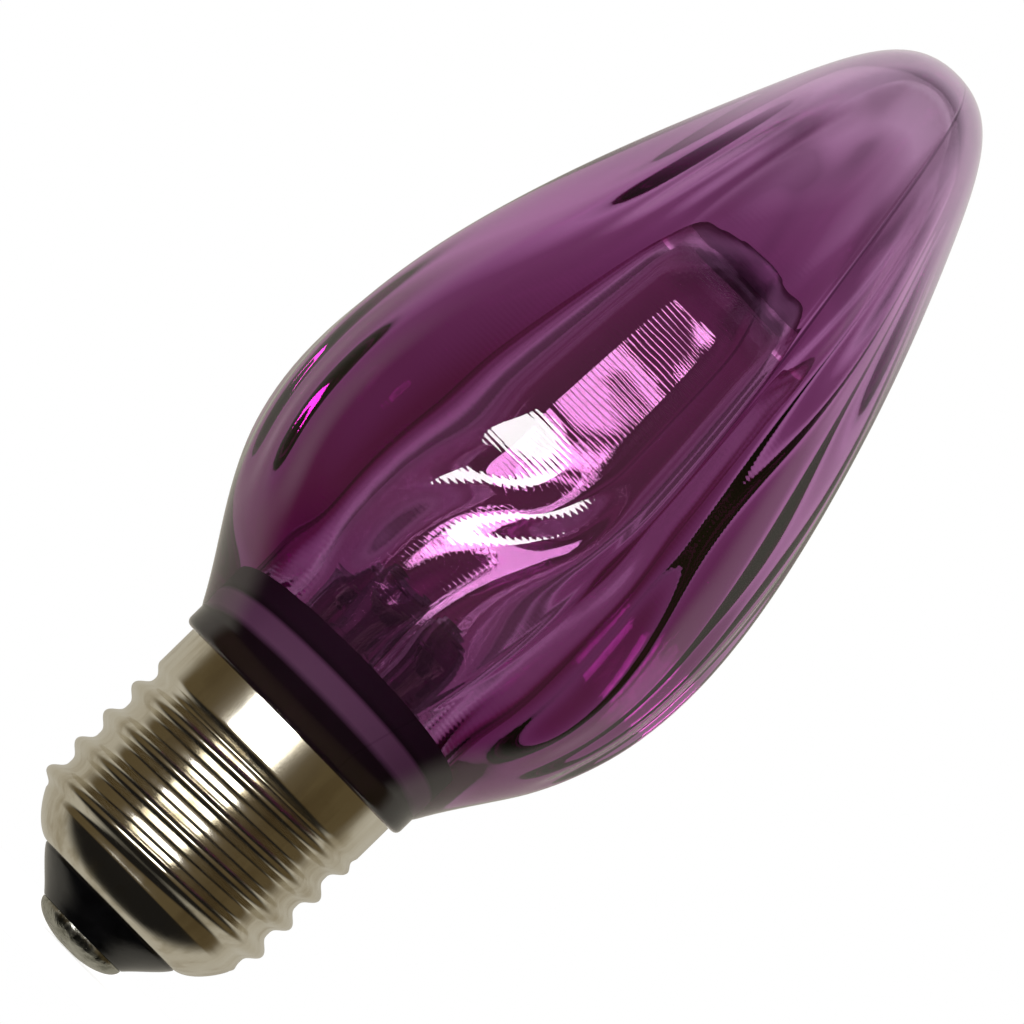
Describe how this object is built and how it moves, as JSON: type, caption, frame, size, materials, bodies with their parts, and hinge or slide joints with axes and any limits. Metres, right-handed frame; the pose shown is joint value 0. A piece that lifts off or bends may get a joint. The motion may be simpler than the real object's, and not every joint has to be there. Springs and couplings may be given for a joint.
{
  "type": "flame tip led bulb",
  "caption": "Screw-in LED lamp with a clear purple fluted flame body, a bullet shaped cavity over its LEDs and a nickel plated medium screw cap.",
  "frame": {"origin": "centre of the flat at the bottom of the centre contact", "axes": "+Z along the lamp's axis from the cap to the tip; +X and +Y across it, with the side that faces the picture towards -Y"},
  "size_m": [0.0473, 0.0471, 0.1141],
  "materials": {
    "clear_purple": "clear, polished, tinted purple",
    "nickel": "nickel plated, bright",
    "black_moulding": "gloss",
    "board_laminate": "matt",
    "green_laminate": "satin",
    "carrier_moulding": "satin",
    "capacitor_case": "satin",
    "capacitor_sleeve": "gloss",
    "resistor_body": "matt",
    "led_epoxy": "clear, polished",
    "red_wire": "satin",
    "black_wire": "satin",
    "white_wire": "satin"
  },
  "bodies": {
    "root": {"base_insulator": "black_moulding", "bleed_resistor": "resistor_body", "board_carrier": "carrier_moulding", "bridge_rectifier": "black_moulding", "centre_contact": "nickel", "driver_board": "green_laminate", "dropper_capacitor": "capacitor_case", "flame_body": "clear_purple", "fuse_resistor": "resistor_body", "led_1": "led_epoxy", "led_2": "led_epoxy", "led_3": "led_epoxy", "led_4": "led_epoxy", "led_5": "led_epoxy", "led_board": "board_laminate", "led_lead_negative": "black_wire", "led_lead_positive": "red_wire", "live_lead": "black_wire", "neutral_lead": "white_wire", "screw_shell": "nickel", "smoothing_capacitor": "capacitor_sleeve"}
  },
  "joints": []
}
